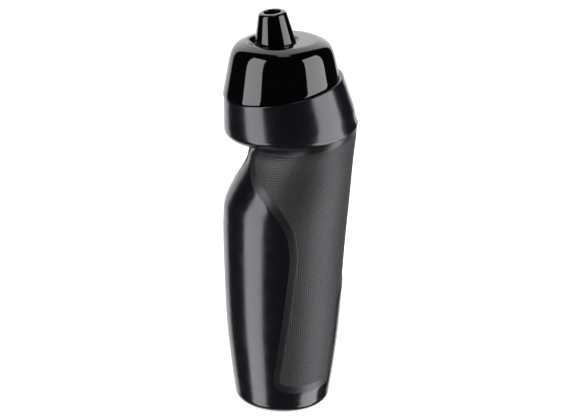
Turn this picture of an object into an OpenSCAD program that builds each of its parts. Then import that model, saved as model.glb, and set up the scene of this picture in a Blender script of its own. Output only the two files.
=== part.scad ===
// Sports squeeze bottle: a one-piece blow-moulded body with a forward-leaning neck,
// a threaded cap with a spout post, and a push-pull nozzle.
// Millimetres, +Z up. The origin is on the standing plane under the middle of the depth.
// The front, with the finger notch, faces -Y, and X = 0 is the mirror plane.

/* [Body] */
// Wall thickness of the body
wall = 1.2; // [0.9:0.1:1.5]
// Outer radius of the flat standing ring
foot_r = 22.5; // [21.5:0.5:24]
// Width of the flat standing ring
foot_w = 3; // [2:0.5:4]
// Height of the push-up in the middle of the base
push_up = 4; // [2:0.5:6]
// Distance from the standing plane to the middle of the body's open end, where the cap seats
seam_z = 199.5; // [199:0.5:200.5]
// Lean of the neck towards the front, in degrees
neck_tilt = 11; // [10:0.5:12]

/* [Collar] */
// Radius of the collar where it meets the cap
collar_top_r = 35.6; // [35.3:0.1:36]
// Radius of the collar at its widest
collar_r = 39; // [38.5:0.1:39.4]
// Depth from the seam to the widest ring of the collar
collar_drop = 20.6; // [20:0.2:21]
// Height of the rounded underside of the collar
lip_h = 9.4; // [9:0.2:10]

/* [Neck and threads] */
// Outer radius of the neck
neck_r = 25; // [24:0.5:25]
// Wall thickness of the neck
neck_wall = 2.2; // [1.8:0.1:2.6]
// Height of the neck above the shoulder
neck_h = 15.5; // [15:0.5:16]
// Advance of the cap for one full turn
thread_lead = 8; // [7:0.5:8]
// Number of thread starts
thread_starts = 2; // [1:1:2]
// Height of each thread ridge off its wall
thread_h = 1.3; // [1:0.1:1.3]

/* [Cap] */
// Radius of the cap at its lower edge
cap_r = 34.4; // [34.2:0.1:34.6]
// Height of the cap above the seam, along its own axis
cap_h = 27.4; // [27.2:0.1:27.6]
// Inward slope of the cap's side, millimetres for each millimetre of height
cap_draft = 0.2; // [0.18:0.01:0.22]
// Lean of the cap's outer shell towards the front, in degrees
cap_tilt = 2; // [2:0.5:3]
// Distance of the outer shell's axis in front of the neck's, at the seam
cap_shift = 0.5; // [0:0.1:0.6]
// Open gap between the cap's lower edge and the shoulder
cap_gap = 0.7; // [0.5:0.1:1]
// Thickness of the cap's outer shell and of its top
cap_wall = 2.2; // [2:0.1:2.4]

/* [Nozzle] */
// Radius of the nozzle at its foot
nozzle_foot_r = 12.3; // [12.2:0.1:12.6]
// Radius of the nozzle just under its rounded rim
nozzle_top_r = 8.5; // [8.5:0.1:8.8]
// Radius of the drinking hole
hole_r = 5.06; // [5.05:0.01:5.08]
// Height of the nozzle's rim above the seam
nozzle_top = 44.5; // [44.4:0.1:44.9]
// Lean of the spout and its nozzle towards the front, in degrees
spout_tilt = 7; // [6.5:0.5:7.5]
// Distance the nozzle pulls up to open
pull = 7; // [6:0.5:7]

/* [Hidden] */

// Segments round the body, and steps between two rows of the side outline
SEG = 36;
ROW_STEPS = 2;
// Height of one step up the threaded neck
NECK_STEP = 0.4;
// Where the middle of the open end lies, along Y, and where the spout's axis passes it
seam_y = -5;
spout_y = -7.3;

// Side outline of the body from the foot fillet to the crease under the collar.
// Each row is [front y, front z, back y, back z]; a ring passes through both points.
outline = [
    [-31.0, 6, 26.5, 6],
    [-33.1, 20, 28.5, 20],
    [-36.0, 43, 31.0, 43],
    [-37.7, 65, 32.5, 65],
    [-38.7, 86, 33.6, 86],
    [-39.3, 102, 34.6, 104],
    [-39.5, 115, 35.7, 119],
    [-38.5, 127, 36.8, 134],
    [-33.0, 139, 38.0, 149],
    [-26.3, 151, 39.2, 162],
    [-24.0, 159, 39.8, 171],
    [-18.0, 166.5, 39.8, 177.5],
];
LAST = len(outline) - 1;
foot_y = (outline[0][0] + outline[0][2]) / 2;

// Threads: neck ridges start here above the shoulder, cap ridges run midway between them
thread_z = 3.2;
thread_turns = 1;
thread_top = thread_z + thread_lead * thread_turns + 1.4;
ridge_gap = thread_lead / thread_starts;
ridge_w = 1.8;
cap_ridge_w = 1.5;
thread_clear = 0.4;
cap_bore_r = neck_r + thread_h + thread_clear;
skirt_r = cap_bore_r + 2;

// The cap's lower edge, cut at a slant, is centred this far in front of the neck's axis
rim_shift = 0.8;
seat_z = neck_h + 2.1;
gasket_t = 2;
slack = 0.05;

// Chamber between the cap's seat and its top, with room for the gasket's inner edge
chamber_r = 18;
chamber_top = 22.6;

// Heights along the spout's axis, above the seam, of the spout and its nozzle
pocket_z = 25.2;
foot_z = pocket_z + 0.3;
stem_top = 38.3;
flange_z = stem_top - 3.6;
lip_top = flange_z - pull - 0.3;
land_z = stem_top + 0.6;
pin_foot = stem_top + 0.2;
pin_top = nozzle_top - 3.2;
// The dish round the nozzle: a flat floor, and a wall that opens outwards at 45 degrees
dish_r = nozzle_foot_r + 0.9;
dish_rise = 6;
// Radii of the stem, its flange and the sliding bores; run is a running clearance
run = 0.08;
stem_r = 7.4;
flange_r = 8.2;
stem_bore_r = 5.6;
pin_r = 5;
// Seal ring and its groove
groove_r = 6.54;
groove_h = 1.9;
ring_cord_r = 0.82;
ring_mid_r = 7.4;
ring_z = stem_top - 1.7;

// Catmull-Rom curve through rows of the outline; u counts rows
function row(i) = outline[max(0, min(LAST, i))];
function curve(a, b, c, d, t) =
    0.5 * (2 * b + (c - a) * t + (2 * a - 5 * b + 4 * c - d) * t * t + (3 * b - a - 3 * c + d) * t * t * t);
function outline_at(u) =
    let (i = min(floor(u), LAST - 1))
    curve(row(i - 1), row(i), row(i + 1), row(i + 2), u - i);

// A ring is [front y, front z, back y, back z]. This one is a ring square to the neck,
// at depth along it, with a radius and a shift towards the back.
function neck_ring(depth, r, shift) =
    let (c = cos(neck_tilt), s = sin(neck_tilt))
    [
        seam_y - s * depth + c * (shift - r), seam_z + c * depth + s * (shift - r),
        seam_y - s * depth + c * (shift + r), seam_z + c * depth + s * (shift + r)
    ];

// Under the collar only the front is scooped out: the sides and back stay as full as the
// collar. Share of that fullness for a ring at a mean height, and a smooth step from 0 to 1.
function smooth_step(t) = let (u = max(0, min(1, t))) u * u * (3 - 2 * u);
function fullness(z) = smooth_step((z - 145) / 27);
// What it adds to a ring's radius r, at an angle, to reach a circle of radius full
// that touches the ring at its back point
function bulge(r, full, a) =
    smooth_step((asin(sin(a)) + 55) / 80)
    * (sqrt(full * full - pow((full - r) * cos(a), 2)) - (full - r) * sin(a) - r);

// Middle and radius of the crease ring, measured in the neck's own frame
crease_back = (outline[LAST][2] - seam_y) * cos(neck_tilt) + (outline[LAST][3] - seam_z) * sin(neck_tilt);
crease_front = (outline[LAST][0] - seam_y) * cos(neck_tilt) + (outline[LAST][1] - seam_z) * sin(neck_tilt);
crease_r = (crease_back - crease_front) / 2;
crease_shift = (crease_back + crease_front) / 2;

function flat_ring(r, z) = [foot_y - r, z, foot_y + r, z];

// Outer surface, from the standing ring up to the edge of the shoulder. Each ring carries
// its share of fullness after its two points.
foot_side_r = (outline[0][2] - outline[0][0]) / 2;
foot_side_z = outline[0][1];
side = concat(
    [for (q = [0:18:72]) concat(
        flat_ring(foot_r + (foot_side_r - foot_r) * sin(q), foot_side_z * (1 - cos(q))), 0)],
    [for (k = [0:LAST * ROW_STEPS])
        let (g = outline_at(k / ROW_STEPS))
        concat(g, fullness((g[1] + g[3]) / 2))],
    [for (q = [15:15:90]) concat(neck_ring(
        -collar_drop - lip_h * cos(q),
        crease_r + (collar_r - crease_r) * sin(q),
        crease_shift * (1 - sin(q))), 1)],
    [for (k = [1:3]) concat(neck_ring(
        -collar_drop * (1 - k / 3) - (k == 3 ? 1 : 0),
        collar_r + (collar_top_r - collar_r) * k / 3, 0), 0)],
    [concat(neck_ring(-0.3, collar_top_r - 0.3, 0), 0)],
    [concat(neck_ring(0, collar_top_r - 1, 0), 0)]
);
SIDES = len(side);

// Inner surface: each outline point moved inwards, square to the outline
function unit(v) = v / norm(v);
function inward(i) =
    let (
        a = side[max(0, i - 1)],
        b = side[min(SIDES - 1, i + 1)],
        f = unit([b[0] - a[0], b[1] - a[1]]),
        k = unit([b[2] - a[2], b[3] - a[3]]),
        step = wall * [f[1], -f[0], -k[1], k[0]]
    )
    concat([for (j = [0:3]) side[i][j] + step[j]], [side[i][4], collar_r - wall]);
inner_foot_r = foot_r - 0.5;

underside = [for (q = [15:15:90])
    flat_ring((foot_r - foot_w) * sin(q), push_up * pow(cos(q), 2))];
floor_rings = [for (q = [90:-15:15])
    flat_ring(inner_foot_r * sin(q), wall + push_up * pow(cos(q), 2))];
inside = [for (i = [SIDES - 3:-1:1]) inward(i)];

// The threaded rings end in their height above the shoulder, which places the thread on them
neck_in_r = neck_r - neck_wall;
neck = concat(
    [neck_ring(0, neck_r, 0)],
    [for (h = [thread_z - 1.6:NECK_STEP:thread_top + 0.4])
        concat(neck_ring(h, neck_r, 0), [0, collar_r, h])],
    [
        neck_ring(neck_h - 0.4, neck_r, 0),
        neck_ring(neck_h, neck_r - 0.4, 0),
        neck_ring(neck_h, neck_in_r + 0.4, 0),
        neck_ring(neck_h - 0.4, neck_in_r, 0),
        neck_ring(-wall, neck_in_r, 0)
    ]);
all_rings = concat(
    underside, side, neck,
    [neck_ring(-wall, collar_top_r - wall - 0.5, 0)],
    inside, floor_rings);

// Share of the full thread height at an angle and height: one ridge section at each lead of each start
function thread_at(a, h) =
    let (
        rise = h - thread_z - thread_lead * a / 360 + ridge_gap / 2,
        off = abs(rise - ridge_gap * floor(rise / ridge_gap) - ridge_gap / 2),
        flank = max(0, min(1, (ridge_w / 2 + 0.3 - off) / 0.6)),
        run_out = max(0, min(1, (h - thread_z + 1.4) / 0.8, (thread_top - h) / 0.8))
    )
    flank * run_out;

// Points of a ring: [front y, front z, back y, back z, share of fullness, full radius, thread height]
function ring_points(g) =
    let (
        share = len(g) > 4 ? g[4] : 0,
        full = len(g) > 5 ? g[5] : collar_r,
        mid_y = (g[0] + g[2]) / 2,
        mid_z = (g[1] + g[3]) / 2,
        dir = unit([g[2] - g[0], g[3] - g[1]]),
        r = norm([g[2] - g[0], g[3] - g[1]]) / 2
    )
    [for (k = [0:SEG - 1])
        let (
            a = 360 * k / SEG,
            fill = share > 0 ? share * bulge(r, full, a) : 0,
            ra = r + fill + (len(g) > 6 ? thread_h * thread_at(a, g[6]) : 0)
        )
        [ra * cos(a), mid_y + ra * sin(a) * dir[0], mid_z + ra * sin(a) * dir[1]]];

// Closed surface through a stack of rings of n points, with a point at each end
module stack(rings, n, first, last) {
    body = [for (g = rings) each g];
    m = len(rings);
    points = concat(body, [first, last]);
    sides = [for (i = [0:m - 2], k = [0:n - 1])
        let (
            a = i * n + k,
            b = i * n + (k + 1) % n
        )
        each [[a, b + n, b], [a, a + n, b + n]]];
    lower = [for (k = [0:n - 1]) [m * n, k, (k + 1) % n]];
    upper = [for (k = [0:n - 1]) [m * n + 1, (m - 1) * n + (k + 1) % n, (m - 1) * n + k]];
    polyhedron(points, concat(sides, lower, upper), convexity = 10);
}

// Helical ridge of a trapezoid section about Z, rising anticlockwise
module ridge(root, crest, width, start_z, start_angle) {
    n = round(36 * thread_turns);
    out = crest > root;
    rings = [for (i = [0:n])
        let (
            a = start_angle + 360 * thread_turns * i / n,
            z = start_z + thread_lead * thread_turns * i / n,
            grow = min(1, i / 3, (n - i) / 3),
            top = root + (crest - root) * (0.2 + 0.8 * grow),
            section = [[root, -width / 2 - 0.3], [top, -width / 4], [top, width / 4], [root, width / 2 + 0.3]]
        )
        [for (p = section) [p[0] * cos(a), p[0] * sin(a), z + p[1]]]];
    points = [for (g = rings) each g];
    turned = [for (i = [0:n - 1], k = [0:3])
        let (
            a = i * 4 + k,
            b = i * 4 + (k + 1) % 4
        )
        each [[a, b, b + 4], [a, b + 4, a + 4]]];
    ends = [[0, 3, 2], [0, 2, 1], [n * 4, n * 4 + 1, n * 4 + 2], [n * 4, n * 4 + 2, n * 4 + 3]];
    faces = concat(turned, ends);
    polyhedron(points, out ? faces : [for (f = faces) [f[0], f[2], f[1]]], convexity = 6);
}

module ridges(root, crest, width, start_z) {
    for (s = [0:thread_starts - 1])
        ridge(root, crest, width, start_z, s * 360 / thread_starts);
}

module on_neck() {
    translate([0, seam_y, seam_z]) rotate([neck_tilt, 0, 0]) children();
}

module on_spout() {
    translate([0, spout_y, seam_z]) rotate([spout_tilt, 0, 0]) children();
}

module on_cap() {
    translate([0, seam_y, seam_z]) rotate([cap_tilt, 0, 0]) translate([0, -cap_shift, 0]) children();
}

module tube(r_out, r_in, low, high) {
    translate([0, 0, low])
        difference() {
            cylinder(h = high - low, r = r_out, $fn = 96);
            translate([0, 0, -1]) cylinder(h = high - low + 2, r = r_in, $fn = 96);
        }
}

// One-piece body: shell, shoulder and threaded neck
module bottle_body() {
    color("#15171b") {
        stack([for (g = all_rings) ring_points(g)], SEG, [0, foot_y, push_up], [0, foot_y, push_up + wall]);
    }
}

// Half section of the cap's outside: a drafted side, a rounded shoulder and a near-flat top
function bezier(p, t) =
    pow(1 - t, 3) * p[0] + 3 * t * pow(1 - t, 2) * p[1] + 3 * t * t * (1 - t) * p[2] + pow(t, 3) * p[3];
side_end = cap_h - 13.4;
function side_r(z) = cap_r - cap_draft * z;
shoulder = [
    [side_r(side_end), side_end],
    [side_r(side_end + 10), side_end + 10],
    [cap_r - 7, cap_h - 2.4],
    [cap_r - 13, cap_h - 0.2]
];

module cap_outside() {
    rotate_extrude($fn = 120)
        polygon(concat(
            [[0, -9], [side_r(-9), -9]],
            [for (t = [0:0.1:1]) bezier(shoulder, t)],
            [[0, cap_h]]));
}

// Everything above the slanted lower edge, with the edge broken by a small chamfer
module above_seam() {
    translate([0, -rim_shift, cap_gap])
        rotate_extrude($fn = 120)
            polygon([[0, 0], [cap_r - 0.5, 0], [cap_r + 0.1, 0.6], [cap_r + 20, 0.7], [cap_r + 20, 60], [0, 60]]);
}

// Hollow between the outer shell and the threaded skirt
module cap_channel() {
    difference() {
        on_cap()
            translate([0, 0, -9])
                cylinder(h = 23, r1 = side_r(-9) - cap_wall, r2 = side_r(14) - cap_wall, $fn = 120);
        on_neck()
            translate([0, 0, -20])
                cylinder(h = 50, r = skirt_r, $fn = 120);
    }
}

// Spout post: a tube with a retaining flange, a seal groove and a centre pin on three ribs
module post() {
    on_spout() {
        difference() {
            union() {
                translate([0, 0, pocket_z - 1]) cylinder(h = flange_z - pocket_z + 1, r = stem_r, $fn = 96);
                translate([0, 0, flange_z]) cylinder(h = stem_top - flange_z, r = flange_r, $fn = 96);
            }
            translate([0, 0, pocket_z - 2]) cylinder(h = 30, r = stem_bore_r, $fn = 96);
            tube(flange_r + 1, groove_r, ring_z - groove_h / 2, ring_z + groove_h / 2);
        }
        translate([0, 0, stem_top - 6]) cylinder(h = pin_foot - stem_top + 6, r = 2.4, $fn = 64);
        translate([0, 0, pin_foot]) cylinder(h = 1.2, r1 = 2.4, r2 = pin_r, $fn = 96);
        translate([0, 0, pin_foot + 1.2]) cylinder(h = pin_top - pin_foot - 1.8, r = pin_r, $fn = 96);
        translate([0, 0, pin_top - 0.6]) cylinder(h = 0.6, r1 = pin_r, r2 = pin_r - 0.6, $fn = 96);
        for (a = [90, 210, 330])
            rotate([0, 0, a])
                translate([0, -0.7, stem_top - 6])
                    cube([stem_bore_r + 0.6, 1.4, 5]);
    }
}

module screw_cap() {
    color("#0b0c0f") {
        difference() {
            intersection() {
                on_cap() cap_outside();
                on_neck() above_seam();
            }
            cap_channel();
            on_neck() {
                translate([0, 0, -10]) cylinder(h = seat_z + 10, r = cap_bore_r, $fn = 120);
                translate([0, 0, 8]) cylinder(h = chamber_top - 8, r = chamber_r, $fn = 120);
            }
            on_spout() {
                translate([0, 0, pocket_z])
                    cylinder(h = dish_rise, r1 = dish_r, r2 = dish_r + dish_rise, $fn = 120);
                translate([0, 0, 15]) cylinder(h = 15, r = stem_bore_r, $fn = 96);
            }
        }
        post();
        on_neck()
            ridges(cap_bore_r + 0.5, neck_r + thread_clear, cap_ridge_w, thread_z + ridge_gap / 2);
    }
}

// Flat sealing ring between the neck's rim and the cap's seat
module cap_gasket() {
    color("#3a3d42")
        on_neck()
            tube(cap_bore_r - 0.3, neck_r - neck_wall - 0.6, neck_h + slack, neck_h + slack + gasket_t);
}

// Push-pull nozzle: it slides on the post, and its hole closes round the pin
module pull_nozzle() {
    rim = 2.1;
    color("#0b0c0f")
        on_spout()
            rotate_extrude($fn = 120)
                polygon(concat(
                    [[stem_r + run, foot_z], [nozzle_foot_r - 0.5, foot_z], [nozzle_foot_r, foot_z + 0.5]],
                    [for (q = [0:15:75])
                        [nozzle_top_r - rim + rim * cos(q), nozzle_top - rim + rim * sin(q)]],
                    [[nozzle_top_r - rim, nozzle_top], [hole_r + 0.5, nozzle_top], [hole_r, nozzle_top - 0.5]],
                    [[hole_r, land_z], [flange_r + run, land_z]],
                    [[flange_r + run, lip_top], [stem_r + run, lip_top]]));
}

// Seal ring in the groove of the post's flange
module post_o_ring() {
    color("#1d1f22")
        on_spout()
            translate([0, 0, ring_z])
                rotate_extrude($fn = 96)
                    translate([ring_mid_r, 0])
                        circle(r = ring_cord_r, $fn = 32);
}

bottle_body();
screw_cap();
cap_gasket();
pull_nozzle();
post_o_ring();
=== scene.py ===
"""Sports squeeze bottle: the looks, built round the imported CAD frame.

Sizes are in millimetres and become metres when a mesh is made. +Z is up and the front,
with the finger notch, faces -Y. A hoop is a circle that is symmetrical about X = 0,
written as [front y, front z, back y, back z].
"""

import math

import bpy
import numpy as np
from mathutils import Matrix, Vector


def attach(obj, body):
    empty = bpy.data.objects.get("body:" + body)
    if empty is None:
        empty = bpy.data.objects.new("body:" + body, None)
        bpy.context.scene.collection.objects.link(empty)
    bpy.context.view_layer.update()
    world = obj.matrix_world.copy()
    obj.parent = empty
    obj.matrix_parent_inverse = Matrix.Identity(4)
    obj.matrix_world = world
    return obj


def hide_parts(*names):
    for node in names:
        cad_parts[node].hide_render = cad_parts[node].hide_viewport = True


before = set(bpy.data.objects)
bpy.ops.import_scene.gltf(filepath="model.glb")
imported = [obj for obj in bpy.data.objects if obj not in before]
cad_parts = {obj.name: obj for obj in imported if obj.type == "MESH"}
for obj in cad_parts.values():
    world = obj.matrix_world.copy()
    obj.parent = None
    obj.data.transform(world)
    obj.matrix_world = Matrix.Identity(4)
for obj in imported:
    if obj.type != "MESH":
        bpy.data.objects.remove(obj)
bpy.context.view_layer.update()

MM = 0.001

# Body, as in the CAD source
WALL = 1.2
FOOT_R = 22.5
FOOT_W = 3
PUSH_UP = 4
SEAM_Y, SEAM_Z = -5, 199.5
NECK_TILT = 11
COLLAR_TOP_R = 35.6
COLLAR_R = 39
COLLAR_DROP = 20.6
LIP_H = 9.4
NECK_R = 25
NECK_WALL = 2.2
NECK_H = 15.5
NECK_FILLET = 0.8
LEDGE_R = 30
THREAD_LEAD = 8
THREAD_STARTS = 2
THREAD_H = 1.3
THREAD_Z = 3.2
THREAD_TOP = THREAD_Z + THREAD_LEAD + 1.4
RIDGE_GAP = THREAD_LEAD / THREAD_STARTS
RIDGE_W = 1.8
OUTLINE = np.array([
    [-31.0, 6, 26.5, 6],
    [-33.1, 20, 28.5, 20],
    [-36.0, 43, 31.0, 43],
    [-37.7, 65, 32.5, 65],
    [-38.7, 86, 33.6, 86],
    [-39.3, 102, 34.6, 104],
    [-39.5, 115, 35.7, 119],
    [-38.5, 127, 36.8, 134],
    [-33.0, 139, 38.0, 149],
    [-26.3, 151, 39.2, 162],
    [-24.0, 159, 39.8, 171],
    [-18.0, 166.5, 39.8, 177.5],
])
LAST = len(OUTLINE) - 1
FOOT_Y = (OUTLINE[0][0] + OUTLINE[0][2]) / 2
SIDE_R = (OUTLINE[0][2] - OUTLINE[0][0]) / 2
SIDE_Z = OUTLINE[0][1]

# Cap, spout and nozzle, as in the CAD source
CAP_R = 34.4
CAP_H = 27.4
CAP_DRAFT = 0.2
CAP_TILT = 2
CAP_SHIFT = 0.5
CAP_GAP = 0.7
CAP_WALL = 2.2
CAP_BORE_R = NECK_R + THREAD_H + 0.4
SKIRT_R = CAP_BORE_R + 2
SEAT_Z = NECK_H + 2.1
CHAMBER_R = 18
CHANNEL_TOP = 14
SPOUT_Y = -7.3
SPOUT_TILT = 7
NOZZLE_FOOT_R = 12.3
NOZZLE_TOP_R = 8.5
NOZZLE_TOP = 44.5
NOZZLE_RIM = 2.1
PULL = 7
HOLE_R = 5.06
POCKET_Z = 25.2
CHAMBER_TOP = 22.6
DISH_R = NOZZLE_FOOT_R + 0.9
FOOT_Z = POCKET_Z + 0.3
STEM_TOP = 38.3
FLANGE_Z = STEM_TOP - 3.6
LIP_TOP = FLANGE_Z - PULL - 0.3
LAND_Z = STEM_TOP + 0.6
PIN_FOOT = STEM_TOP + 0.2
PIN_TOP = NOZZLE_TOP - 3.2
PIN_ROOT = STEM_TOP - 6
PIN_STUB_R = 2.4
PIN_CONE_H = 1.2
STEM_R = 7.4
FLANGE_R = 8.2
STEM_BORE_R = 5.6
PIN_R = 5
RIB_R = 1.5
RING_Z = STEM_TOP - 1.7
RING_GROOVE_R = 6.54
RING_GROOVE_H = 1.9
# Clearance between the nozzle and the post it slides on
SLIDE_GAP = 0.08
# Height along the neck's axis where the outside of the skirt ends
SKIRT_TOP = 12.2
# Edges of the cap's top that the moulding rounds off
TOP_R = 24
SOFTEN = 2.4
LIP_ROUND = 1.5

# Grip: a recessed band round each side, with a field of square pits inside it.
# The edge of one grip as [degrees round from +X, mean height of the ring].
GRIP_EDGE = np.array([
    [-86, 190], [-86, 160], [-72, 150], [-51, 141.5], [-32.5, 131], [-20, 118.6],
    [-15.2, 103], [-17, 85], [-21, 61], [-27, 35], [-30, 24], [-26, 17.4],
    [-13, 14.5], [2, 13.7], [22, 14.3], [41, 16], [46, 24], [46, 47],
    [51.5, 65.5], [64, 76], [90, 80], [150, 80],
])
GRIP_R = 36
GRIP_TOP = 172
GRIP_LOW = 12.6
BAND_W = 4.3
STEP_D = 0.15
BAND_D = 0.6
PIT_D = 0.26
PITS_ROUND = 164
PITS_UP = 114
COLUMNS = 2 * PITS_ROUND

# Camera: its place, in degrees and metres, and the way it points
VIEW_AZIMUTH = 69.72
VIEW_DISTANCE = 1.2585
VIEW_HEIGHT = 0.5581
VIEW_SIDE = -0.0026
VIEW_HEADING = 69.58
VIEW_PITCH = 19.15
VIEW_ROLL = 1.12
LENS = 138.06


# ---------------------------------------------------------------- shapes

class Axis:
    """A line in the plane X = 0, through a point, leaning forwards by some degrees."""

    def __init__(self, y, z, tilt):
        self.y, self.z, self.tilt = y, z, tilt
        self.c = math.cos(math.radians(tilt))
        self.s = math.sin(math.radians(tilt))

    def place(self, back, up):
        """The (y, z) of a point given by its distances behind the line and along it."""
        return np.array([self.y + self.c * back - self.s * up, self.z + self.s * back + self.c * up])

    def moved(self, back):
        return Axis(*self.place(back, 0), self.tilt)

    def hoop(self, radius, up, shift=0.0):
        return np.concatenate([self.place(shift - radius, up), self.place(shift + radius, up)])

    def revolve(self, profile, n):
        """A ring of points for each (radius, height) of a profile."""
        return [hoop_points(self.hoop(r, z), n) for r, z in profile]


NECK = Axis(SEAM_Y, SEAM_Z, NECK_TILT)
CAP = Axis(SEAM_Y, SEAM_Z, CAP_TILT).moved(-CAP_SHIFT)
SPOUT = Axis(SPOUT_Y, SEAM_Z, SPOUT_TILT)


def circle_angles(n):
    return 2 * np.pi * np.arange(n) / n


def hoop_points(hoop, n, gain=0.0):
    """n points round a hoop; gain is added to the radius, and may differ from point to point."""
    front, back = np.array(hoop[:2]), np.array(hoop[2:4])
    middle = (front + back) / 2
    radius = np.linalg.norm(back - front) / 2
    lean = (back - front) / (2 * radius)
    a = circle_angles(n)
    r = radius + gain
    return np.stack([
        r * np.cos(a),
        middle[0] + r * np.sin(a) * lean[0],
        middle[1] + r * np.sin(a) * lean[1],
    ], -1)


def smooth(low, high, x):
    t = np.clip((x - low) / (high - low), 0, 1)
    return t * t * (3 - 2 * t)


def spline(points, per_span):
    """Catmull-Rom curve through points, with per_span steps between two of them."""
    spans = len(points) - 1
    return spline_at(points, np.linspace(0, spans, spans * per_span + 1))


def spline_at(points, u):
    spans = len(points) - 1
    i = np.minimum(np.floor(u).astype(int), spans - 1)
    t = (u - i)[:, None]
    a, b, c, d = (points[np.clip(i + k, 0, spans)] for k in (-1, 0, 1, 2))
    return 0.5 * (2 * b + (c - a) * t + (2 * a - 5 * b + 4 * c - d) * t ** 2
                  + (3 * b - a - 3 * c + d) * t ** 3)


def arc(centre, radius, start, end, steps):
    """Points on an arc in a profile, from one angle to another, in degrees."""
    q = np.radians(np.linspace(start, end, steps + 1))
    return [(centre[0] + radius * math.cos(k), centre[1] + radius * math.sin(k)) for k in q]


def rounded(corners, steps=5):
    """A profile from (r, z, rounding) corners, each corner with a rounding turned into an arc."""
    out = []
    for k, (r, z, size) in enumerate(corners):
        here = np.array([r, z], float)
        if size == 0 or k in (0, len(corners) - 1):
            out.append(tuple(here))
            continue
        before = np.array(corners[k - 1][:2]) - here
        after = np.array(corners[k + 1][:2]) - here
        before /= np.linalg.norm(before)
        after /= np.linalg.norm(after)
        half = math.acos(np.clip(before @ after, -1, 1)) / 2
        reach = size / math.tan(half)
        middle = here + (before + after) / np.linalg.norm(before + after) * size / math.sin(half)
        for t in np.linspace(0, 1, steps + 1):
            p = here + before * reach * (1 - t) + after * reach * t - middle
            out.append(tuple(middle + p / np.linalg.norm(p) * size))
    return out


def line(start, end, steps):
    """Points of a straight stretch of profile, without its first one."""
    t = np.linspace(0, 1, steps + 1)[1:, None]
    return [tuple(p) for p in np.array(start) * (1 - t) + np.array(end) * t]


# ---------------------------------------------------------------- meshes

def strip(a, n, b, m, va, vb):
    """Faces and texture corners between a ring of n points from a and one of m from b."""
    k = np.arange(min(n, m))
    if n == m:
        quads = np.stack([a + k, a + (k + 1) % n, b + (k + 1) % n, b + k], -1).tolist()
        corners = [[(j, va), (j + 1, va), (j + 1, vb), (j, vb)] for j in k]
        return quads, corners
    wide, narrow = (a, b) if n > m else (b, a)
    faces, corners = [], []
    for j in k:
        first, second, third = wide + 2 * j, wide + 2 * j + 1, wide + (2 * j + 2) % (2 * len(k))
        tip, next_tip = narrow + j, narrow + (j + 1) % len(k)
        pair = [[first, second, tip], [second, third, next_tip, tip]]
        faces += pair if n > m else [f[::-1] for f in pair]
        corners += [[(0, 0)] * 3, [(0, 0)] * 4]
    return faces, corners


def loft(rings, loop=False, first=None, last=None, heights=None):
    """A skin through rings of points: vertices, faces and texture corners."""
    starts = np.cumsum([0] + [len(r) for r in rings])
    points = [*rings]
    heights = heights if heights is not None else [0] * len(rings)
    faces, corners = [], []
    for i in range(len(rings) if loop else len(rings) - 1):
        j = (i + 1) % len(rings)
        new_faces, new_corners = strip(
            starts[i], len(rings[i]), starts[j], len(rings[j]), heights[i], heights[j])
        faces += new_faces
        corners += new_corners
    for tip, ring, order in ((first, 0, -1), (last, len(rings) - 1, 1)):
        if tip is not None:
            points.append(np.array([tip], float))
            centre = sum(len(p) for p in points) - 1
            n = len(rings[ring])
            for k in range(n):
                edge = [starts[ring] + k, starts[ring] + (k + 1) % n][::order]
                faces.append([int(centre), *map(int, edge)])
                corners.append([(0, 0)] * 3)
    return np.concatenate(points), faces, corners


def join(*skins):
    """Several skins as one."""
    points, faces, corners, base = [], [], [], 0
    for p, f, c in skins:
        points.append(p)
        faces += [[base + int(v) for v in face] for face in f]
        corners += c
        base += len(p)
    return np.concatenate(points), faces, corners


def make_piece(name, skin, material, flat=None, sharp=34):
    """A mesh object from a skin in millimetres. flat marks the faces that aren't smooth."""
    points, faces, corners = skin
    mesh = bpy.data.meshes.new(name)
    mesh.from_pydata((points * MM).tolist(), [], faces)
    mesh.materials.append(material)
    smooth_faces = np.ones(len(faces), bool) if flat is None else ~flat
    mesh.polygons.foreach_set("use_smooth", smooth_faces)
    layer = mesh.uv_layers.new(name="pits")
    layer.data.foreach_set("uv", np.array([p for c in corners for p in c], np.float32).ravel())
    mesh.set_sharp_from_angle(angle=math.radians(sharp))
    mesh.validate()
    piece = bpy.data.objects.new(name, mesh)
    bpy.context.scene.collection.objects.link(piece)
    return piece


# ---------------------------------------------------------------- bottle body

def unit(v):
    return v / np.linalg.norm(v)


def fullness(height):
    """Share of the collar's fullness that the sides and back keep at a mean height."""
    return smooth(145, 172, height)


def bulge(hoop, share, full=COLLAR_R):
    """What each of a hoop's points gains to reach, at the sides and back, a circle of radius full."""
    radius = np.hypot(hoop[2] - hoop[0], hoop[3] - hoop[1]) / 2
    gap = full - radius

    def gain(a):
        folded = np.degrees(np.arcsin(np.sin(a)))
        reach = np.sqrt(full ** 2 - (gap * np.cos(a)) ** 2) - gap * np.sin(a)
        return share * smooth(-55, 25, folded) * (reach - radius)
    return gain


def full_ring(hoop, share, n, inset=0.0):
    if share == 0:
        return hoop_points(hoop, n)
    return hoop_points(hoop, n, bulge(hoop, share, COLLAR_R - inset)(circle_angles(n)))


def flat_hoop(radius, z):
    return np.array([FOOT_Y - radius, z, FOOT_Y + radius, z])


def crease():
    """Radius of the crease ring under the collar, and its shift from the neck's axis."""
    back = (OUTLINE[LAST][2] - SEAM_Y) * NECK.c + (OUTLINE[LAST][3] - SEAM_Z) * NECK.s
    front = (OUTLINE[LAST][0] - SEAM_Y) * NECK.c + (OUTLINE[LAST][1] - SEAM_Z) * NECK.s
    return (back - front) / 2, (back + front) / 2


def collar_lip(q):
    """Hoop on the rounded underside of the collar; q runs from 0 at the crease to 90 degrees."""
    radius, shift = crease()
    c, s = math.cos(math.radians(q)), math.sin(math.radians(q))
    return NECK.hoop(radius + (COLLAR_R - radius) * s, -COLLAR_DROP - LIP_H * c, shift * (1 - s))


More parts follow.
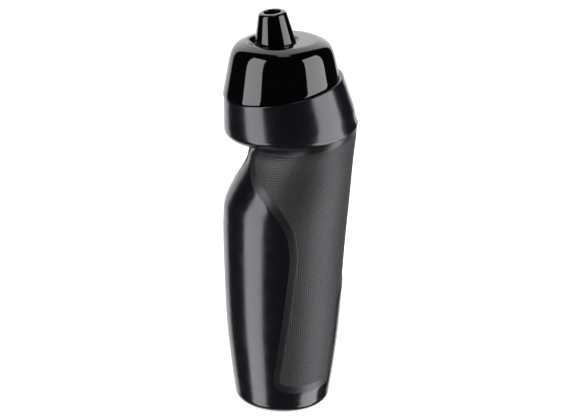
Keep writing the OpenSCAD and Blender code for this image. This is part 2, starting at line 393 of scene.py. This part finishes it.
def foot_hoop(q):
    c, s = math.cos(math.radians(q)), math.sin(math.radians(q))
    return flat_hoop(FOOT_R + (SIDE_R - FOOT_R) * s, SIDE_Z * (1 - c))


def collar_hoop(share, up=0.0):
    return NECK.hoop(COLLAR_R + (COLLAR_TOP_R - COLLAR_R) * share, -COLLAR_DROP * (1 - share) + up)


def outline_row(height):
    """Places along the outline, in rows, where the rings have these mean heights."""
    u = np.linspace(0, LAST, 1101)
    hoops = spline_at(OUTLINE, u)
    return np.interp(height, (hoops[:, 1] + hoops[:, 3]) / 2, u)


def distance_inside(x, y, edge):
    """Signed distance of points to a polygon's edge, above zero inside it."""
    gap = np.full(x.shape, 1e9)
    inside = np.zeros(x.shape, bool)
    for (ax, ay), (bx, by) in zip(edge, np.roll(edge, -1, axis=0)):
        dx, dy = bx - ax, by - ay
        t = np.clip(((x - ax) * dx + (y - ay) * dy) / (dx * dx + dy * dy + 1e-12), 0, 1)
        gap = np.minimum(gap, np.hypot(x - ax - t * dx, y - ay - t * dy))
        crosses = (ay > y) != (by > y)
        inside ^= crosses & (x < ax + (y - ay) * dx / (dy if dy else 1e-12))
    return np.where(inside, gap, -gap)


def grip_inset(angle, height):
    """How far points of the wall lie inside the grip's outer edge, in millimetres."""
    folded = np.degrees(np.arcsin(np.sin(angle)))
    edge = spline(GRIP_EDGE, 5)
    edge = np.concatenate([edge, [[150, 190]]])
    edge = np.stack([np.radians(edge[:, 0]) * GRIP_R, edge[:, 1]], -1)
    side = distance_inside(np.radians(folded) * GRIP_R, height, edge)
    return np.minimum(side, GRIP_TOP - height)


def wall_grid():
    """The grip's part of the wall as a grid: points, inset and the pits' mask."""
    heights = np.linspace(GRIP_LOW, GRIP_TOP, 2 * PITS_UP + 1)
    hoops = spline_at(OUTLINE, outline_row(heights))
    points = np.stack([full_ring(h, fullness(z), COLUMNS) for h, z in zip(hoops, heights)])
    angle = np.broadcast_to(circle_angles(COLUMNS), points.shape[:2])
    inset = grip_inset(angle, np.broadcast_to(heights[:, None], points.shape[:2]))
    across = np.roll(points, -1, 1) - np.roll(points, 1, 1)
    normal = np.cross(across, np.gradient(points, axis=0))
    normal /= np.linalg.norm(normal, axis=2, keepdims=True)
    step = STEP_D * smooth(-0.2, 0.5, inset)
    depth = step + (BAND_D - STEP_D) * np.clip(inset / BAND_W, 0, 1)
    rows, cols = np.indices(inset.shape)
    pit = (rows % 2 == 0) & (cols % 2 == 0) & (inset > BAND_W + 0.4)
    depth = depth + PIT_D * pit
    return points - normal * depth[:, :, None], inset, pit


def thread_share(angle, height):
    """Share of the thread's full height on the neck, from 0 to 1."""
    rise = height - THREAD_Z - THREAD_LEAD * angle / (2 * np.pi) + RIDGE_GAP / 2
    off = np.abs(rise - RIDGE_GAP * np.floor(rise / RIDGE_GAP) - RIDGE_GAP / 2)
    flank = smooth(-0.1, 1.1, (RIDGE_W / 2 + 0.3 - off) / 0.6)
    start = np.clip((height - THREAD_Z + 1.4) / 0.8, 0, 1)
    end = np.clip((THREAD_TOP - height) / 0.8, 0, 1)
    return flank * start * end


def neck_rings(n):
    """Rings up the outside of the threaded neck, over its rim and down the inside."""
    a = circle_angles(n)
    centre = (NECK_R + NECK_FILLET, NECK_FILLET)
    rings = [hoop_points(NECK.hoop(r, z), n) for r, z in arc(centre, NECK_FILLET, 270, 180, 3)]
    for h in np.arange(1.5, THREAD_TOP + 0.4, 0.34):
        rings.append(hoop_points(NECK.hoop(NECK_R, h), n, THREAD_H * thread_share(a, h)))
    low = NECK_R - NECK_WALL
    profile = rounded([
        (NECK_R, NECK_H - 1.5, 0), (NECK_R, NECK_H, 0.5), (low, NECK_H, 0.5),
        (low, 5, 0), (low, -WALL, 0.8), (COLLAR_TOP_R - WALL - 0.5, -WALL, 0)], 3)
    return rings + NECK.revolve(profile, n)


def coarse_side():
    """Hoops of the outer side and their fullness, as far apart as the inside needs."""
    side = [(foot_hoop(q), 0) for q in range(0, 90, 18)]
    side += [(h, fullness((h[1] + h[3]) / 2)) for h in spline(OUTLINE, 2)]
    side += [(collar_lip(q), 1) for q in range(15, 91, 15)]
    side += [(collar_hoop(k / 3), 0) for k in (1, 2)]
    side.append((collar_hoop(1, -1), 0))
    return side


def inner_rings(n):
    """Rings down the inside of the wall, each outer hoop moved inwards, and over the floor."""
    side = coarse_side()
    rings = []
    for i in range(len(side) - 1, 0, -1):
        way = side[min(len(side) - 1, i + 1)][0] - side[i - 1][0]
        front, back = unit(way[:2]), unit(way[2:])
        hoop = side[i][0] + WALL * np.array([front[1], -front[0], -back[1], back[0]])
        rings.append(full_ring(hoop, side[i][1], n, WALL))
    for q in np.radians(range(90, 0, -15)):
        hoop = flat_hoop((FOOT_R - 0.5) * math.sin(q), WALL + PUSH_UP * math.cos(q) ** 2)
        rings.append(hoop_points(hoop, n))
    return rings


def bottle_skin():
    """The whole body as one closed skin, with the grip's inset and the pits' flat faces."""
    half = PITS_ROUND
    under = [flat_hoop((FOOT_R - FOOT_W) * math.sin(q), PUSH_UP * math.cos(q) ** 2)
             for q in np.radians(range(15, 91, 15))]
    foot = [foot_hoop(q) for q in range(0, 90, 12)]
    low = list(spline_at(OUTLINE, outline_row(np.linspace(SIDE_Z, GRIP_LOW - 1, 6))))
    grid, inset, pit = wall_grid()
    lip = [full_ring(collar_lip(q), 1, COLUMNS) for q in range(9, 91, 9)]
    collar = [hoop_points(collar_hoop(k / 4), COLUMNS) for k in (1, 2, 3)]
    edge = rounded([(COLLAR_TOP_R + 0.2, -1.6, 0), (COLLAR_TOP_R, 0, 1.0), (LEDGE_R, 0, 0),
                    (NECK_R + 1.5, 0, 0)], 6)
    rings = [hoop_points(h, half) for h in under]
    rings += [hoop_points(h, COLUMNS) for h in foot + low]
    before = len(rings)
    rings += list(grid)
    rings += lip + collar
    rings += NECK.revolve(edge, COLUMNS)
    rings += neck_rings(half)
    rings += inner_rings(half)

    heights = np.zeros(len(rings))
    heights[before:before + len(grid)] = np.arange(len(grid))
    skin = loft(rings, first=(0, FOOT_Y, PUSH_UP), last=(0, FOOT_Y, PUSH_UP + WALL), heights=heights)

    start = sum(len(r) for r in rings[:before])
    insets = np.full(len(skin[0]), -9.0)
    insets[start:start + inset.size] = inset.ravel()
    low_rows = start - len(low) * COLUMNS
    insets[low_rows:start] = -3.0
    pits = np.zeros(len(skin[0]), bool)
    pits[start:start + inset.size] = pit.ravel()
    flat = np.array([any(pits[v] for v in face) for face in skin[1]])
    return skin, insets, flat


# ---------------------------------------------------------------- cap

def side_r(z):
    return CAP_R - CAP_DRAFT * z


def slanted(radius, slope, height, n):
    """A ring where a cone about the cap's axis meets a plane square to the neck."""
    a = circle_angles(n)
    lean = math.radians(NECK_TILT - CAP_TILT)
    across, along = math.sin(lean), math.cos(lean)
    rise = height + across * (radius * np.sin(a) - CAP_SHIFT)
    up = rise / (along + across * slope * np.sin(a))
    r = radius - slope * up
    y, z = CAP.place(r * np.sin(a), up)
    return np.stack([r * np.cos(a), y, z], -1)


def shoulder_profile():
    """Half section of the shoulder and the near-flat top, from the side to the middle."""
    end = CAP_H - 13.4
    points = np.array([
        (side_r(end), end), (side_r(end + 10), end + 10),
        (CAP_R - 7, CAP_H - 2.4), (CAP_R - 13, CAP_H - 0.2)])
    t = np.linspace(0, 1, 61)[:, None]
    curve = ((1 - t) ** 3 * points[0] + 3 * t * (1 - t) ** 2 * points[1]
             + 3 * t * t * (1 - t) * points[2] + t ** 3 * points[3])
    return np.concatenate([curve, [(0, CAP_H)]])


def top_height(r):
    """Height of the cap's top at a distance from its axis, with the crease round it softened."""
    profile = shoulder_profile()[::-1]
    spread = np.linspace(-SOFTEN, SOFTEN, 9)
    weight = np.cos(spread / SOFTEN * math.pi / 2) ** 2
    heights = np.interp(np.abs(np.asarray(r)[..., None] + spread), profile[:, 0], profile[:, 1])
    return heights @ weight / weight.sum()


def cap_frame(points):
    """The (x, back, up) of points, measured on the cap's own axis."""
    y, z = points[..., 1] - CAP.y, points[..., 2] - CAP.z
    return np.stack([points[..., 0], CAP.c * y + CAP.s * z, CAP.c * z - CAP.s * y], -1)


def from_cap_frame(points):
    y, z = CAP.place(points[..., 1], points[..., 2])
    return np.stack([points[..., 0], y, z], -1)


def dish_edge(n):
    """The ring where the wall of the dish, a cone about the spout, comes out of the cap's top."""
    low, high = np.zeros(n), np.full(n, 8.0)
    a = circle_angles(n)
    for _ in range(30):
        t = (low + high) / 2
        y, z = SPOUT.place((DISH_R + t) * np.sin(a), POCKET_Z + t)
        ring = np.stack([(DISH_R + t) * np.cos(a), y, z], -1)
        local = cap_frame(ring)
        inside = local[:, 2] < top_height(np.hypot(local[:, 0], local[:, 1]))
        low, high = np.where(inside, t, low), np.where(inside, high, t)
    return ring


def blend_rings(a, b, steps):
    """Rings between two rings, both left out."""
    return [a * (1 - t) + b * t for t in np.linspace(0, 1, steps + 1)[1:-1]]


def towards(a, b, reach):
    """Points from a towards b by a reach, but never more than half way."""
    way = b - a
    length = np.linalg.norm(way, axis=1, keepdims=True)
    return a + way * np.minimum(reach / np.maximum(length, 1e-6), 0.5)


def cap_top(n):
    """Rings over the cap's top, round the lip of the dish and down to its floor."""
    edge = dish_edge(n)
    floor = hoop_points(SPOUT.hoop(DISH_R, POCKET_Z), n)
    start = cap_frame(hoop_points(CAP.hoop(TOP_R, 0), n))
    end = cap_frame(edge)
    over = []
    for t in np.linspace(0, 1, 15)[:-1]:
        ring = start * (1 - t) + end * t
        ring[:, 2] = top_height(np.hypot(ring[:, 0], ring[:, 1]))
        over.append(from_cap_frame(ring))
    last = towards(edge, over[-2], LIP_ROUND)
    first = towards(edge, floor, LIP_ROUND)
    lip = [(1 - t) ** 2 * last + 2 * t * (1 - t) * edge + t * t * first for t in np.linspace(0, 1, 9)]
    return over[:-1] + lip + blend_rings(lip[-1], floor, 3)


def post_profile():
    """Dish floor, stem, flange with its seal groove, and bore."""
    half = RING_GROOVE_H / 2
    return rounded([
        (DISH_R, POCKET_Z, 0), (STEM_R, POCKET_Z, 0.25), (STEM_R, FLANGE_Z, 0),
        (FLANGE_R, FLANGE_Z, 0.15), (FLANGE_R, RING_Z - half, 0.1),
        (RING_GROOVE_R, RING_Z - half, 0), (RING_GROOVE_R, RING_Z + half, 0),
        (FLANGE_R, RING_Z + half, 0.1), (FLANGE_R, STEM_TOP, 0.4),
        (STEM_BORE_R, STEM_TOP, 0.3), (STEM_BORE_R, CHAMBER_TOP + 1, 0)], 3)


def inner_profile():
    """Chamber under the spout, seat for the gasket, and the threaded skirt."""
    return rounded([
        (STEM_BORE_R + 1, CHAMBER_TOP, 0),
        (CHAMBER_R, CHAMBER_TOP, 1.0), (CHAMBER_R, SEAT_Z, 0.2),
        (CAP_BORE_R, SEAT_Z, 0.3), (CAP_BORE_R, CAP_GAP, 0.3),
        (SKIRT_R, CAP_GAP, 0.3), (SKIRT_R, SKIRT_TOP, 0)], 3)


def cap_shell(n):
    """The cap's whole wall as one closed loop of rings."""
    rings = [slanted(CAP_R - 0.35, CAP_DRAFT, CAP_GAP, n),
             slanted(CAP_R - 0.1, CAP_DRAFT, CAP_GAP + 0.12, n),
             slanted(CAP_R, CAP_DRAFT, CAP_GAP + 0.4, n)]
    radii = [r for r in shoulder_profile()[:, 0] if r > TOP_R]
    shoulder = CAP.revolve([p for p in shoulder_profile()[:len(radii):2]], n)
    rings += blend_rings(rings[-1], shoulder[0], 8)
    rings += shoulder
    rings += cap_top(n)
    rings += SPOUT.revolve(post_profile(), n)
    rings += NECK.revolve(inner_profile(), n)
    inner = side_r(CHANNEL_TOP) - CAP_WALL
    rings += CAP.revolve([(SKIRT_R + 0.3, CHANNEL_TOP), (inner, CHANNEL_TOP)], n)
    rings += [slanted(CAP_R - CAP_WALL, CAP_DRAFT, CAP_GAP + 0.2, n),
              slanted(CAP_R - CAP_WALL + 0.3, CAP_DRAFT, CAP_GAP, n)]
    return loft(rings, loop=True)


def pin_skin(n):
    """Centre pin that closes the nozzle's hole."""
    profile = rounded([
        (PIN_STUB_R, PIN_ROOT, 0.4), (PIN_STUB_R, PIN_FOOT, 0.4), (PIN_R, PIN_FOOT + PIN_CONE_H, 0.3),
        (PIN_R, PIN_TOP, 0.5), (1, PIN_TOP, 0)], 4)
    base, top = (SPOUT.place(0, z) for z in (PIN_ROOT, PIN_TOP))
    return loft(SPOUT.revolve(profile, n), first=(0, *base), last=(0, *top))


def rib_skin(angle):
    """One of the ribs that hold the pin in the bore, tapering towards its lower edge."""
    a = math.radians(angle)
    out, side = np.array([math.cos(a), math.sin(a)]), np.array([-math.sin(a), math.cos(a)])
    rings = []
    near, far = RIB_R, STEM_BORE_R + 0.4
    for z, w, trim in ((-6, 0.35, 0.3), (-5.6, 0.6, 0), (-1.4, 0.7, 0), (-1, 0.5, 0.2)):
        plan = [out * (near + trim) - side * w, out * far - side * w,
                out * far + side * w, out * (near + trim) + side * w]
        rings.append(np.array([[p[0], *SPOUT.place(p[1], STEM_TOP + z)] for p in plan]))
    return loft(rings, first=rings[0].mean(0), last=rings[-1].mean(0))


def ridge_skin(start_angle):
    """A helical ridge inside the cap, from its bore towards the neck."""
    steps = 96
    root, crest, width = CAP_BORE_R + 0.5, NECK_R + 0.4, 1.5
    rings = []
    for i in range(steps + 1):
        turn = 2 * math.pi * i / steps
        a = math.radians(start_angle) + turn
        z = THREAD_Z + RIDGE_GAP / 2 + THREAD_LEAD * i / steps
        grow = min(1.0, i / 8, (steps - i) / 8)
        top = root + (crest - root) * (0.2 + 0.8 * grow)
        section = ((root, -width / 2 - 0.3), (root, width / 2 + 0.3), (top + 0.15, width / 4 + 0.1),
                   (top, width / 4 - 0.1), (top, -width / 4 + 0.1), (top + 0.15, -width / 4 - 0.1))
        rings.append(np.array([
            [r * math.cos(a), *NECK.place(r * math.sin(a), z + h)] for r, h in section]))
    return loft(rings, first=rings[0].mean(0), last=rings[-1].mean(0))


def cap_skin():
    ribs = [rib_skin(a) for a in (90, 210, 330)]
    ridges = [ridge_skin(360 * k / THREAD_STARTS) for k in range(THREAD_STARTS)]
    return join(cap_shell(256), pin_skin(96), *ribs, *ridges)


def nozzle_skin():
    """Push-pull nozzle, with a rounded rim and a bore that slides on the post."""
    shoulder = (NOZZLE_TOP_R, NOZZLE_TOP - NOZZLE_RIM)
    outer = rounded([(STEM_R + SLIDE_GAP, FOOT_Z, 0), (NOZZLE_FOOT_R, FOOT_Z, 0.5), (*shoulder, 0)], 5)[:-1]
    rise = line(outer[-1], shoulder, 8)[:-1]
    top = arc((NOZZLE_TOP_R - NOZZLE_RIM, NOZZLE_TOP - NOZZLE_RIM), NOZZLE_RIM, 12, 90, 10)
    hole = arc((HOLE_R + 0.5, NOZZLE_TOP - 0.5), 0.5, 90, 180, 5)
    inner = rounded([
        (HOLE_R, NOZZLE_TOP - 1, 0), (HOLE_R, LAND_Z, 0.15), (FLANGE_R + SLIDE_GAP, LAND_Z, 0.2),
        (FLANGE_R + SLIDE_GAP, LIP_TOP, 0.1), (STEM_R + SLIDE_GAP, LIP_TOP, 0.1),
        (STEM_R + SLIDE_GAP, FOOT_Z + 0.15, 0)], 3)
    return loft(SPOUT.revolve(outer + rise + top + hole + inner, 192), loop=True)


# ---------------------------------------------------------------- materials

def new_material(name):
    material = bpy.data.materials.new(name)
    material.use_nodes = True
    tree = material.node_tree
    return material, tree, tree.nodes["Principled BSDF"]


def node(tree, kind, inputs=None, **settings):
    """A node with its settings, and its inputs either linked or set."""
    made = tree.nodes.new("ShaderNode" + kind)
    for key, value in settings.items():
        setattr(made, key, value)
    for key, value in (inputs or {}).items():
        if isinstance(value, bpy.types.NodeSocket):
            tree.links.new(value, made.inputs[key])
        else:
            made.inputs[key].default_value = value
    return made


def maths(tree, operation, *values):
    return node(tree, "Math", dict(enumerate(values)), operation=operation).outputs[0]


def ramp(tree, value, low, high, start=0.0, end=1.0):
    """Smooth change from start to end as value goes from low to high."""
    made = node(tree, "MapRange", {
        "Value": value, "From Min": low, "From Max": high, "To Min": start, "To Max": end},
        interpolation_type="SMOOTHSTEP")
    return made.outputs["Result"]


def mix_colour(tree, share, a, b):
    made = node(tree, "Mix", {"Factor": share}, data_type="RGBA")
    for socket, value in ((made.inputs[6], a), (made.inputs[7], b)):
        if isinstance(value, bpy.types.NodeSocket):
            tree.links.new(value, socket)
        else:
            socket.default_value = (*value, 1)
    return made.outputs[2]


def mix_value(tree, share, a, b):
    return node(tree, "Mix", {"Factor": share, "A": a, "B": b}, data_type="FLOAT").outputs[0]


def noise(tree, scale, detail=3.0, stretch=(1, 1, 1)):
    """Noise on the object's own coordinates; scale counts features for each metre."""
    place = node(tree, "TexCoord").outputs["Object"]
    spread = node(tree, "Mapping", {"Vector": place, "Scale": stretch}).outputs[0]
    return node(tree, "TexNoise", {"Vector": spread, "Scale": scale, "Detail": detail}).outputs["Fac"]


def add_bump(tree, shader, layers):
    """Chains bumps, each a height in millimetres."""
    normal = None
    for height in layers:
        inputs = {"Height": height, "Strength": 1.0, "Distance": MM}
        if normal is not None:
            inputs["Normal"] = normal
        normal = node(tree, "Bump", inputs).outputs["Normal"]
    tree.links.new(normal, shader.inputs["Normal"])


def pit_mask(tree):
    """1 in the middle of each pit and 0 on the net of ridges between them."""
    place = node(tree, "UVMap", uv_map="pits").outputs[0]
    parts = node(tree, "SeparateXYZ", {"Vector": place})
    away = []
    for axis in (0, 1):
        half = maths(tree, "MULTIPLY", parts.outputs[axis], 0.5)
        away.append(maths(tree, "PINGPONG", half, 0.5))
    return ramp(tree, maths(tree, "MAXIMUM", *away), 0.18, 0.42, 1.0, 0.0)


def bottle_material():
    """Satin-gloss body, a smooth matt band round the grip, and a net of pits in its field, the pits
    darkened with painted shade.
    """
    material, tree, shader = new_material("bottle_plastic")
    inset = node(tree, "Attribute", attribute_name="inset").outputs["Fac"]
    band = ramp(tree, inset, -0.05, 0.15)
    field = ramp(tree, inset, BAND_W - 0.1, BAND_W + 0.25)
    pits = maths(tree, "MULTIPLY", pit_mask(tree), field)

    cloud = noise(tree, 45, 4)
    grain = noise(tree, 2600, 2)
    gloss_tint = mix_colour(tree, cloud, (0.0020, 0.0023, 0.0030), (0.0030, 0.0034, 0.0043))
    band_tint = mix_colour(tree, cloud, (0.0024, 0.0024, 0.0027), (0.0036, 0.0036, 0.0040))
    ridge_tint = mix_colour(tree, grain, (0.0065, 0.0065, 0.0071), (0.0098, 0.0098, 0.0106))
    # Painted shade: the pits are coloured near-black, darker than the ridges around them, where their
    # recesses would be in shadow.
    field_tint_with_pit_shade = mix_colour(tree, pits, ridge_tint, (0.0014, 0.0014, 0.0016))
    tint = mix_colour(tree, band, gloss_tint, band_tint)
    tint = mix_colour(tree, field, tint, field_tint_with_pit_shade)
    tree.links.new(tint, shader.inputs["Base Color"])

    gloss_rough = ramp(tree, noise(tree, 160, 5), 0.3, 0.75, 0.17, 0.23)
    band_rough = ramp(tree, grain, 0.3, 0.7, 0.36, 0.42)
    field_rough = mix_value(tree, pits, 0.46, 0.75)
    rough = mix_value(tree, band, gloss_rough, band_rough)
    rough = mix_value(tree, field, rough, field_rough)
    tree.links.new(rough, shader.inputs["Roughness"])
    shader.inputs["IOR"].default_value = 1.5

    sag = maths(tree, "MULTIPLY", noise(tree, 38, 2, (1, 1, 0.35)), 0.09)
    skin = maths(tree, "MULTIPLY", noise(tree, 900, 3), 0.0012)
    dull = maths(tree, "MULTIPLY", maths(tree, "MULTIPLY", grain, band), 0.012)
    pit_depth = maths(tree, "MULTIPLY", pits, -0.10)
    add_bump(tree, shader, [sag, skin, dull, pit_depth])
    return material


def gloss_material(name, tint, rough):
    """Polished injection-moulded plastic with faint flow marks and fine scuffs."""
    material, tree, shader = new_material(name)
    cloud = noise(tree, 60, 4)
    light = tuple(1.5 * c for c in tint)
    tree.links.new(mix_colour(tree, cloud, tint, light), shader.inputs["Base Color"])
    scuffs = ramp(tree, noise(tree, 700, 6, (1, 1, 0.08)), 0.45, 0.8, rough, rough + 0.05)
    tree.links.new(scuffs, shader.inputs["Roughness"])
    shader.inputs["IOR"].default_value = 1.5
    flow = maths(tree, "MULTIPLY", noise(tree, 30, 1), 0.03)
    fine = maths(tree, "MULTIPLY", noise(tree, 1500, 2), 0.0003)
    add_bump(tree, shader, [flow, fine])
    return material


def rubber_material(name, tint):
    """Matt moulded rubber with a fine bloom."""
    material, tree, shader = new_material(name)
    cloud = noise(tree, 220, 4)
    light = tuple(1.6 * c for c in tint)
    tree.links.new(mix_colour(tree, cloud, tint, light), shader.inputs["Base Color"])
    tree.links.new(ramp(tree, cloud, 0.3, 0.7, 0.48, 0.62), shader.inputs["Roughness"])
    add_bump(tree, shader, [maths(tree, "MULTIPLY", noise(tree, 3200, 2), 0.01)])
    return material


# ---------------------------------------------------------------- stage

def facing(azimuth, elevation=0.0):
    """Unit vector towards an azimuth, 0 at -Y and 90 at +X, and an elevation, in degrees."""
    a, e = math.radians(azimuth), math.radians(elevation)
    return Vector((math.sin(a) * math.cos(e), -math.cos(a) * math.cos(e), math.sin(e)))


def softbox(name, turn, half_angle, low, high, distance, radiance, tint):
    """Upright softbox: its middle and half width by angle from the camera, its ends by elevation."""
    middle = Vector((0, 0, 0.12))
    width = 2 * distance * math.tan(math.radians(half_angle))
    bottom, top = (distance * math.tan(math.radians(e)) for e in (low, high))
    data = bpy.data.lights.new(name, "AREA")
    data.shape = "RECTANGLE"
    data.size, data.size_y = width, top - bottom
    data.energy = 4 * radiance * width * (top - bottom)
    data.color = tint
    lamp = bpy.data.objects.new(name, data)
    lamp.location = middle + facing(VIEW_AZIMUTH + turn) * distance + Vector((0, 0, (top + bottom) / 2))
    lamp.rotation_euler = (math.radians(90), 0, math.radians(VIEW_AZIMUTH + turn))
    lamp.visible_camera = False
    bpy.context.scene.collection.objects.link(lamp)
    return lamp


def make_world():
    """White backdrop behind the object and overhead, dark on the camera's side."""
    world = bpy.data.worlds.new("studio")
    bpy.context.scene.world = world
    world.use_nodes = True
    tree = world.node_tree
    background = tree.nodes["Background"]
    way = node(tree, "TexCoord").outputs["Generated"]
    parts = node(tree, "SeparateXYZ", {"Vector": way})
    x, y, z = parts.outputs
    flat = node(tree, "CombineXYZ", {"X": x, "Y": y}).outputs[0]
    level = node(tree, "VectorMath", {0: flat}, operation="NORMALIZE").outputs[0]
    back = facing(VIEW_AZIMUTH + 188)
    along = node(tree, "VectorMath", {0: level, 1: back}, operation="DOT_PRODUCT").outputs["Value"]
    behind = ramp(tree, along, 0.76, 0.81)
    above = ramp(tree, z, 0.985, 0.995)
    white = ramp(tree, z, -0.1, 0.35, 1.3, 1.75)
    share = maths(tree, "MAXIMUM", behind, above)
    light = maths(tree, "MULTIPLY", share, white)
    light = maths(tree, "ADD", light, 0.012)
    seen = node(tree, "LightPath").outputs["Is Camera Ray"]
    strength = mix_value(tree, seen, light, 1.0)
    tree.links.new(strength, background.inputs["Strength"])
    background.inputs["Color"].default_value = (0.97, 0.98, 1.0, 1)


def make_floor():
    """Pale floor that glows a little, so that shadows stay light."""
    mesh = bpy.data.meshes.new("floor")
    reach = 4.0
    mesh.from_pydata([(-reach, -reach, 0), (reach, -reach, 0), (reach, reach, 0), (-reach, reach, 0)],
                     [], [(0, 1, 2, 3)])
    floor = bpy.data.objects.new("floor", mesh)
    bpy.context.scene.collection.objects.link(floor)
    material, tree, shader = new_material("floor_white")
    shade = mix_colour(tree, noise(tree, 3, 2), (0.80, 0.80, 0.80), (0.82, 0.82, 0.82))
    tree.links.new(shade, shader.inputs["Base Color"])
    shader.inputs["Roughness"].default_value = 0.9
    shader.inputs["Specular IOR Level"].default_value = 0.0
    shader.inputs["Emission Color"].default_value = (1, 1, 1, 1)
    shader.inputs["Emission Strength"].default_value = 0.7
    mesh.materials.append(material)
    floor.visible_glossy = False
    floor.visible_shadow = False


def make_camera():
    data = bpy.data.cameras.new("camera")
    data.lens = LENS
    data.sensor_width = 36
    data.clip_start, data.clip_end = 0.05, 50
    camera = bpy.data.objects.new("camera", data)
    place = facing(VIEW_AZIMUTH) * VIEW_DISTANCE
    camera.location = (place.x, place.y + VIEW_SIDE, VIEW_HEIGHT)
    turn = Matrix.Rotation(math.radians(VIEW_HEADING), 4, "Z")
    nod = Matrix.Rotation(math.radians(90 - VIEW_PITCH), 4, "X")
    roll = Matrix.Rotation(math.radians(VIEW_ROLL), 4, "Z")
    camera.rotation_mode = "QUATERNION"
    camera.rotation_quaternion = (turn @ nod @ roll).to_quaternion()
    bpy.context.scene.collection.objects.link(camera)
    bpy.context.scene.camera = camera


def stand_for(piece, body, cad_node):
    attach(piece, body)
    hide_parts(cad_node)


# ---------------------------------------------------------------- the object

make_camera()

skin, insets, flat = bottle_skin()
bottle = make_piece("bottle", skin, bottle_material(), flat)
bottle.data.attributes.new("inset", "FLOAT", "POINT").data.foreach_set("value", insets)
stand_for(bottle, "bottle", "bottle_body")

cap = make_piece("cap", cap_skin(), gloss_material("cap_plastic", (0.0005, 0.0005, 0.0007), 0.04))
stand_for(cap, "cap", "screw_cap")

nozzle = make_piece("nozzle", nozzle_skin(),
                    gloss_material("nozzle_plastic", (0.0004, 0.0004, 0.0006), 0.04))
stand_for(nozzle, "nozzle", "pull_nozzle")

rubber = {
    "cap_gasket": rubber_material("gasket_rubber", (0.045, 0.047, 0.05)),
    "post_o_ring": rubber_material("o_ring_rubber", (0.012, 0.012, 0.013)),
}
for name, material in rubber.items():
    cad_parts[name].material_slots[0].material = material

make_world()
make_floor()
softbox("left_softbox", -61, 19, -58, 45, 1.0, 4.1, (0.96, 0.955, 1.0))
softbox("right_softbox", 74.5, 24.3, -58, 45, 1.0, 4.1, (0.96, 0.955, 1.0))
bpy.context.scene.view_settings.view_transform = "Standard"
